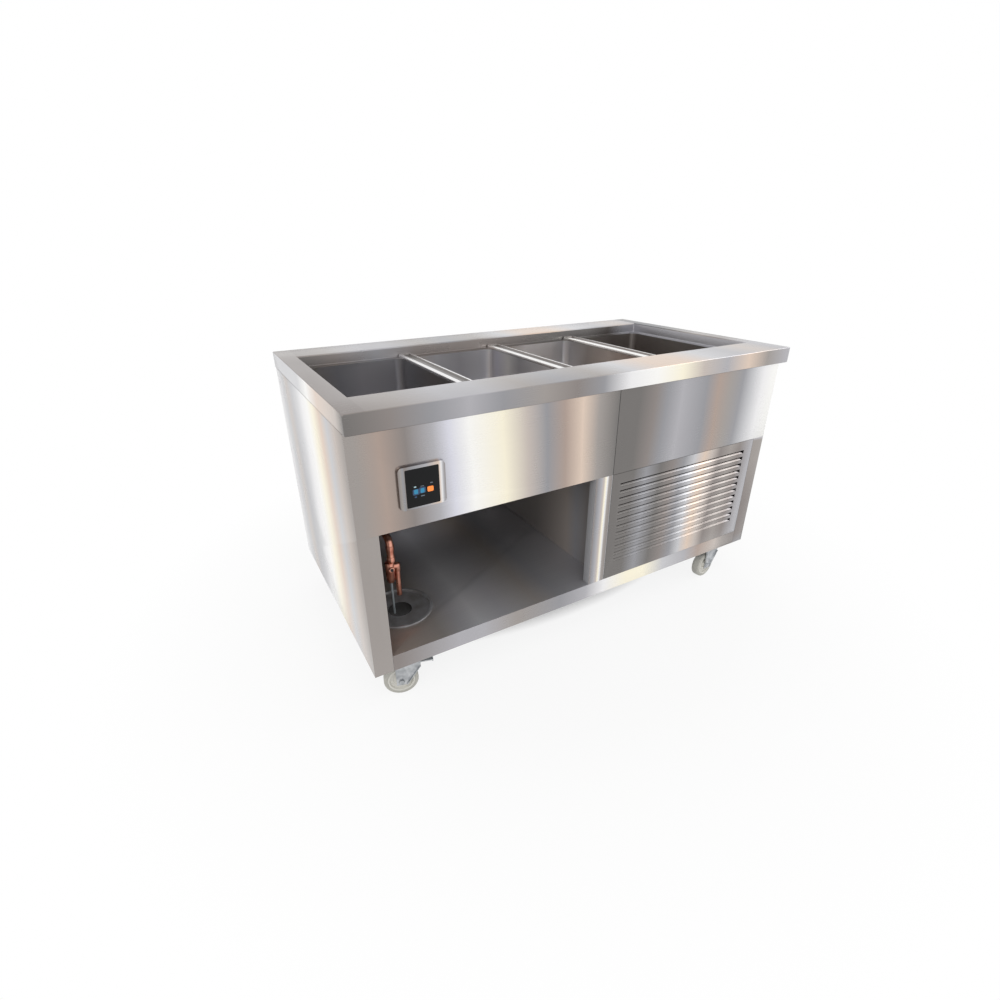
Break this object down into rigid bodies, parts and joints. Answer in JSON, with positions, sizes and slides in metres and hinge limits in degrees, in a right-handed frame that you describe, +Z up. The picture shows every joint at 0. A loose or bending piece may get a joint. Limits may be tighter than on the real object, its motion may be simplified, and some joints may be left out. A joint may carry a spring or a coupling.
{
  "type": "mobile salad bar",
  "caption": "Stainless steel food counter on swivel casters, with deep wells under lift-out dividers, an open storage bay, a louvred panel and a drain.",
  "frame": {"origin": "on the floor under the middle of the counter top's outline", "axes": "+X along the counter towards the louvred end, +Y towards the back, +Z up; the open front faces -Y"},
  "size_m": [1.524, 0.838, 0.885],
  "materials": {
    "polished_steel": "polished stainless steel sheet",
    "brushed_steel": "brushed stainless steel sheet",
    "galvanised": "zinc plated steel",
    "copper": "bright copper tube",
    "foam": "polyurethane foam",
    "heater": "silicone heater mat",
    "black_enamel": "black enamel",
    "dark_plastic": "matt moulded plastic",
    "screen_glass": "glossy black touch glass",
    "grey_tube": "grey flexible tube",
    "aluminium": "aluminium fins",
    "tread": "grey non-marking tread",
    "wheel_grey": "pale grey moulded hub",
    "pedal": "plated brake pedal",
    "grey_paint": "grey painted box"
  },
  "bodies": {
    "counter": {"top_frame": "polished_steel", "well_deck": "polished_steel", "well_1": "brushed_steel", "well_2": "brushed_steel", "well_3": "brushed_steel", "well_4": "brushed_steel", "insulation": "foam", "insulation_casing": "galvanised", "cold_coils": "copper", "heater_pads": "heater", "drain_fittings": "brushed_steel", "drain_manifold": "copper", "drain_valve": "copper", "overflow_tube": "copper", "condensate_tube": "grey_tube", "drain_dish": "brushed_steel", "left_panel": "polished_steel", "right_panel": "polished_steel", "back_panel": "polished_steel", "left_fascia": "polished_steel", "right_fascia": "polished_steel", "centre_post": "polished_steel", "partition": "brushed_steel", "base_deck": "brushed_steel", "base_frame": "galvanised", "control_bezel": "polished_steel", "control_glass": "screen_glass", "control_box": "dark_plastic", "unit_tray": "galvanised", "compressor": "black_enamel", "condenser_coil": "aluminium", "fan_shroud": "black_enamel", "fan_motor": "black_enamel", "filter_drier": "copper", "refrigerant_lines": "copper", "junction_box": "grey_paint", "cord_gland": "dark_plastic", "caster_plates": "galvanised", "caster_bolts": "galvanised"},
    "divider_1": {"divider_1": "polished_steel"},
    "divider_2": {"divider_2": "polished_steel"},
    "divider_3": {"divider_3": "polished_steel"},
    "louvre_panel": {"louvre_panel": "polished_steel"},
    "valve_stem": {"valve_stem": "black_enamel"},
    "fan_blade": {"fan_blade": "dark_plastic"},
    "fork_1": {"caster_fork_1": "galvanised"},
    "wheel_1": {"caster_tyre_1": "tread", "caster_hub_1": "wheel_grey"},
    "pedal_1": {"brake_pedal_1": "pedal"},
    "fork_2": {"caster_fork_2": "galvanised"},
    "wheel_2": {"caster_tyre_2": "tread", "caster_hub_2": "wheel_grey"},
    "pedal_2": {"brake_pedal_2": "pedal"},
    "fork_3": {"caster_fork_3": "galvanised"},
    "wheel_3": {"caster_tyre_3": "tread", "caster_hub_3": "wheel_grey"},
    "fork_4": {"caster_fork_4": "galvanised"},
    "wheel_4": {"caster_tyre_4": "tread", "caster_hub_4": "wheel_grey"}
  },
  "joints": [
    {"name": "divider_1_lift", "type": "slide", "parent": "counter", "child": "divider_1", "axis": [0, 0, 1], "range_m": [0, 0.12]},
    {"name": "divider_2_lift", "type": "slide", "parent": "counter", "child": "divider_2", "axis": [0, 0, 1], "range_m": [0, 0.12]},
    {"name": "divider_3_lift", "type": "slide", "parent": "counter", "child": "divider_3", "axis": [0, 0, 1], "range_m": [0, 0.12]},
    {"name": "louvre_panel_lift_off", "type": "slide", "parent": "counter", "child": "louvre_panel", "axis": [0, -1, 0], "range_m": [0, 0.12]},
    {"name": "valve_stem_turn", "type": "hinge", "parent": "counter", "child": "valve_stem", "pos_m": [-0.629, -0.201, 0.339], "axis": [0, -1, 0], "range_deg": [0, 90]},
    {"name": "fan_spin", "type": "hinge", "parent": "counter", "child": "fan_blade", "pos_m": [0.25925, -0.243, 0.318], "axis": [0, 1, 0], "continuous": true},
    {"name": "caster_swivel_1", "type": "hinge", "parent": "counter", "child": "fork_1", "pos_m": [-0.64, -0.355, 0.125], "axis": [0, 0, 1], "continuous": true},
    {"name": "wheel_spin_1", "type": "hinge", "parent": "fork_1", "child": "wheel_1", "pos_m": [-0.67381, -0.34594, 0.051], "axis": [0.2588, 0.9659, 0], "continuous": true},
    {"name": "brake_press_1", "type": "hinge", "parent": "fork_1", "child": "pedal_1", "pos_m": [-0.63807, -0.35552, 0.104], "axis": [0.2588, 0.9659, 0], "range_deg": [0, 20], "stiffness_Nm_per_rad": 2, "springref_deg": -10.31},
    {"name": "caster_swivel_2", "type": "hinge", "parent": "counter", "child": "fork_2", "pos_m": [0.624, -0.355, 0.125], "axis": [0, 0, 1], "continuous": true},
    {"name": "wheel_spin_2", "type": "hinge", "parent": "fork_2", "child": "wheel_2", "pos_m": [0.58934, -0.35987, 0.051], "axis": [-0.1392, 0.9903, 0], "continuous": true},
    {"name": "brake_press_2", "type": "hinge", "parent": "fork_2", "child": "pedal_2", "pos_m": [0.62598, -0.35472, 0.104], "axis": [-0.1392, 0.9903, 0], "range_deg": [0, 20], "stiffness_Nm_per_rad": 2, "springref_deg": -10.31},
    {"name": "caster_swivel_3", "type": "hinge", "parent": "counter", "child": "fork_3", "pos_m": [-0.64, 0.358, 0.125], "axis": [0, 0, 1], "continuous": true},
    {"name": "wheel_spin_3", "type": "hinge", "parent": "fork_3", "child": "wheel_3", "pos_m": [-0.67381, 0.36706, 0.051], "axis": [0.2588, 0.9659, 0], "continuous": true},
    {"name": "caster_swivel_4", "type": "hinge", "parent": "counter", "child": "fork_4", "pos_m": [0.624, 0.358, 0.125], "axis": [0, 0, 1], "continuous": true},
    {"name": "wheel_spin_4", "type": "hinge", "parent": "fork_4", "child": "wheel_4", "pos_m": [0.58934, 0.35313, 0.051], "axis": [-0.1392, 0.9903, 0], "continuous": true}
  ]
}
